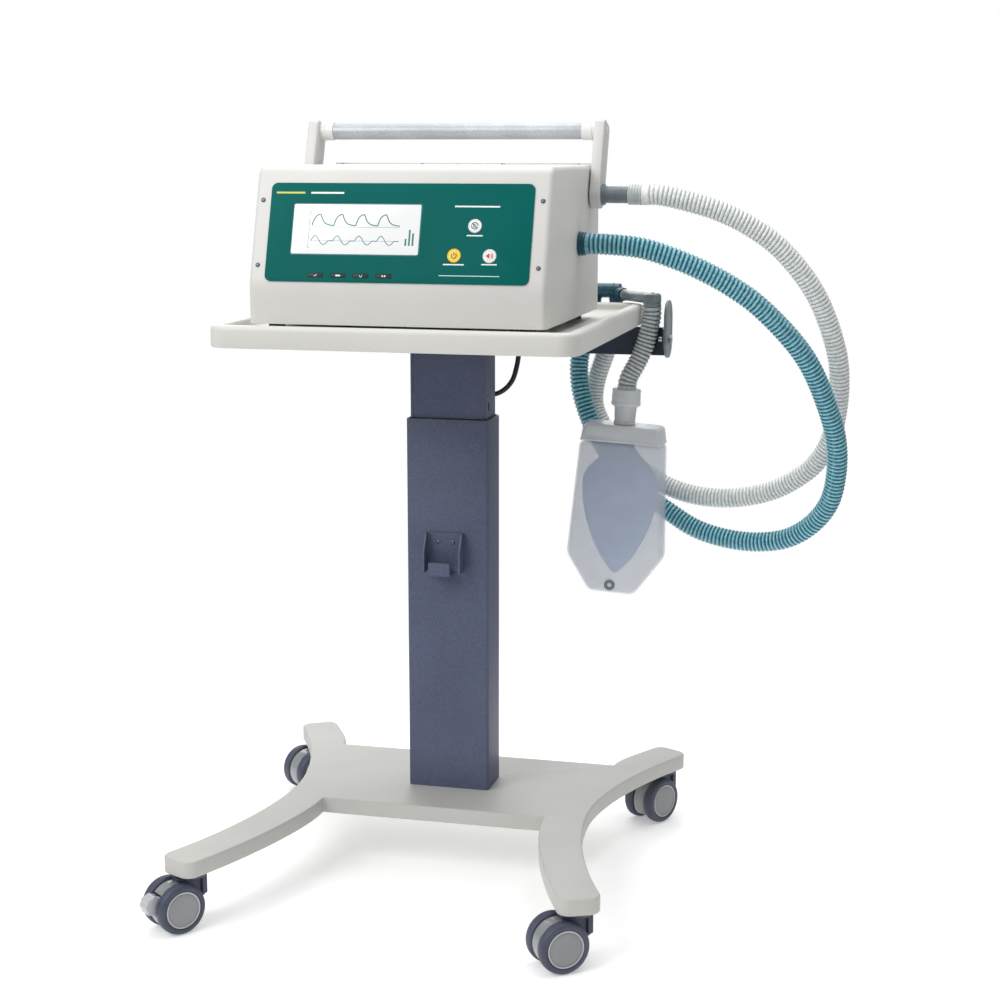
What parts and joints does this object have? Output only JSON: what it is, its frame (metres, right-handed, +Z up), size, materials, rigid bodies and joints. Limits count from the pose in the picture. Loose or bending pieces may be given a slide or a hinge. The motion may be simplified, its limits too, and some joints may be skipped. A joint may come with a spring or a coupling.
{
  "type": "mechanical ventilator on trolley",
  "caption": "Bedside breathing ventilator with leaning touch panel and carrying handle, on a wheeled lifting trolley with hose arm and test lung.",
  "frame": {"origin": "middle of the footprint box on the floor, with the breathing hoses left out", "axes": "+X to the right as seen from the screen side, +Y to the back, +Z up"},
  "size_m": [0.9746, 0.7494, 1.1644],
  "materials": {
    "cast_paint": "satin light warm grey powder coat over cast aluminium",
    "shell_white": "satin off-white moulding with a fine texture",
    "slate_paint": "textured slate blue powder coat",
    "navy_paint": "satin dark navy powder coat",
    "zinc_steel": "bright zinc plated steel",
    "zinc_sheet": "plain zinc coated sheet",
    "black_paint": "gloss black paint",
    "black_plastic": "fine matt black",
    "battery_wrap": "dark wrap",
    "green_board": "solder mask",
    "teal_overlay": "printed polyester film, satin",
    "display_glass": "smooth lit screen",
    "white_key": "domed satin cap",
    "yellow_key": "domed satin cap",
    "grip_alloy": "fine knurled satin anodised",
    "grey_plastic": "smooth moulded grey",
    "clear_cuff": "frosted soft plastic",
    "teal_hose": "corrugated translucent tube",
    "white_hose": "corrugated translucent tube",
    "grey_hose": "corrugated smoky tube",
    "cable_rubber": "smooth black cable jacket",
    "frosted_silicone": "frosted translucent moulding",
    "blue_bag": "thin pale blue bag",
    "foot_rubber": "matt black rubber",
    "caster_grey": "fine grained grey plastic",
    "tyre_slate": "smooth slate tyre"
  },
  "bodies": {
    "trolley": {"base_frame": "cast_paint", "column_outer_tube": "slate_paint", "column_glide_ring": "black_plastic", "gas_spring_cylinder": "black_paint", "lead_hook": "slate_paint"},
    "lift": {"tray": "shell_white", "case_hood": "shell_white", "back_panel": "shell_white", "column_inner_tube": "slate_paint", "tray_support_plate": "navy_paint", "hose_arm": "navy_paint", "hose_arm_guard": "navy_paint", "hose_arm_bolt": "zinc_steel", "gas_spring_rod": "zinc_steel", "handle_pivot_bolt": "zinc_steel", "oxygen_inlet": "zinc_steel", "mains_inlet": "black_plastic", "indicator_bar": "black_plastic", "blower": "black_plastic", "chassis_plate": "zinc_sheet", "battery_pack": "battery_wrap", "control_board": "green_board", "front_overlay": "teal_overlay", "display": "display_glass", "port_upper": "grey_plastic", "port_lower": "grey_plastic", "patient_elbow": "grey_plastic", "cuff_upper": "clear_cuff", "cuff_lower": "teal_hose", "wye_piece": "teal_hose", "hose_teal": "teal_hose", "hose_white": "white_hose", "patient_limb": "grey_hose", "column_cable": "cable_rubber", "lung_neck": "frosted_silicone", "lung_cap": "frosted_silicone", "lung_shell": "frosted_silicone", "lung_drain_ring": "frosted_silicone", "lung_bag": "blue_bag", "foot_fl": "foot_rubber", "foot_fr": "foot_rubber", "foot_rl": "foot_rubber", "foot_rr": "foot_rubber"},
    "handle": {"handle_arm_left": "shell_white", "handle_arm_right": "shell_white", "handle_grip": "grip_alloy"},
    "caster_fl": {"caster_fl_fork": "caster_grey"},
    "wheels_fl": {"caster_fl_wheels": "tyre_slate"},
    "brake_fl": {"caster_fl_brake": "caster_grey"},
    "caster_fr": {"caster_fr_fork": "caster_grey"},
    "wheels_fr": {"caster_fr_wheels": "tyre_slate"},
    "caster_rl": {"caster_rl_fork": "caster_grey"},
    "wheels_rl": {"caster_rl_wheels": "tyre_slate"},
    "caster_rr": {"caster_rr_fork": "caster_grey"},
    "wheels_rr": {"caster_rr_wheels": "tyre_slate"},
    "key_mode": {"key_mode": "white_key"},
    "key_standby": {"key_standby": "yellow_key"},
    "key_mute": {"key_mute": "white_key"},
    "rocker": {"power_rocker": "black_plastic"}
  },
  "joints": [
    {"name": "column_lift", "type": "slide", "parent": "trolley", "child": "lift", "axis": [0, 0, 1], "range_m": [-0.06, 0.24]},
    {"name": "caster_fl_swivel", "type": "hinge", "parent": "trolley", "child": "caster_fl", "pos_m": [-0.2759, -0.29946, 0.08], "axis": [0, 0, 1], "continuous": true},
    {"name": "caster_fl_roll", "type": "hinge", "parent": "caster_fl", "child": "wheels_fl", "pos_m": [-0.29305, -0.32159, 0.0375], "axis": [0.7905, -0.6125, 0], "continuous": true},
    {"name": "brake_fl_pedal", "type": "hinge", "parent": "caster_fl", "child": "brake_fl", "pos_m": [-0.31142, -0.34531, 0.0475], "axis": [0.7905, -0.6125, 0], "range_deg": [0, 16]},
    {"name": "caster_fr_swivel", "type": "hinge", "parent": "trolley", "child": "caster_fr", "pos_m": [0.3001, -0.29946, 0.08], "axis": [0, 0, 1], "continuous": true},
    {"name": "caster_fr_roll", "type": "hinge", "parent": "caster_fr", "child": "wheels_fr", "pos_m": [0.27767, -0.31622, 0.0375], "axis": [0.5985, -0.8011, 0], "continuous": true},
    {"name": "caster_rl_swivel", "type": "hinge", "parent": "trolley", "child": "caster_rl", "pos_m": [-0.2939, 0.33254, 0.08], "axis": [0, 0, 1], "continuous": true},
    {"name": "caster_rl_roll", "type": "hinge", "parent": "caster_rl", "child": "wheels_rl", "pos_m": [-0.31038, 0.3099, 0.0375], "axis": [0.8085, -0.5885, 0], "continuous": true},
    {"name": "caster_rr_swivel", "type": "hinge", "parent": "trolley", "child": "caster_rr", "pos_m": [0.3181, 0.33254, 0.08], "axis": [0, 0, 1], "continuous": true},
    {"name": "caster_rr_roll", "type": "hinge", "parent": "caster_rr", "child": "wheels_rr", "pos_m": [0.30396, 0.30837, 0.0375], "axis": [0.8632, -0.5048, 0], "continuous": true},
    {"name": "handle_swing", "type": "hinge", "parent": "lift", "child": "handle", "pos_m": [0.0121, 0.10854, 1.052], "axis": [1, 0, 0], "range_deg": [-75, 72]},
    {"name": "key_mode_press", "type": "slide", "parent": "lift", "child": "key_mode", "axis": [0, 0.9546, -0.2979], "range_m": [0, 0.001], "stiffness_N_per_m": 800, "springref_m": -0.001},
    {"name": "key_standby_press", "type": "slide", "parent": "lift", "child": "key_standby", "axis": [0, 0.9546, -0.2979], "range_m": [0, 0.001], "stiffness_N_per_m": 800, "springref_m": -0.001},
    {"name": "key_mute_press", "type": "slide", "parent": "lift", "child": "key_mute", "axis": [0, 0.9546, -0.2979], "range_m": [0, 0.001], "stiffness_N_per_m": 800, "springref_m": -0.001},
    {"name": "power_rocker_tip", "type": "hinge", "parent": "lift", "child": "rocker", "pos_m": [0.1091, 0.16854, 0.915], "axis": [1, 0, 0], "range_deg": [-13.7, 0]}
  ]
}
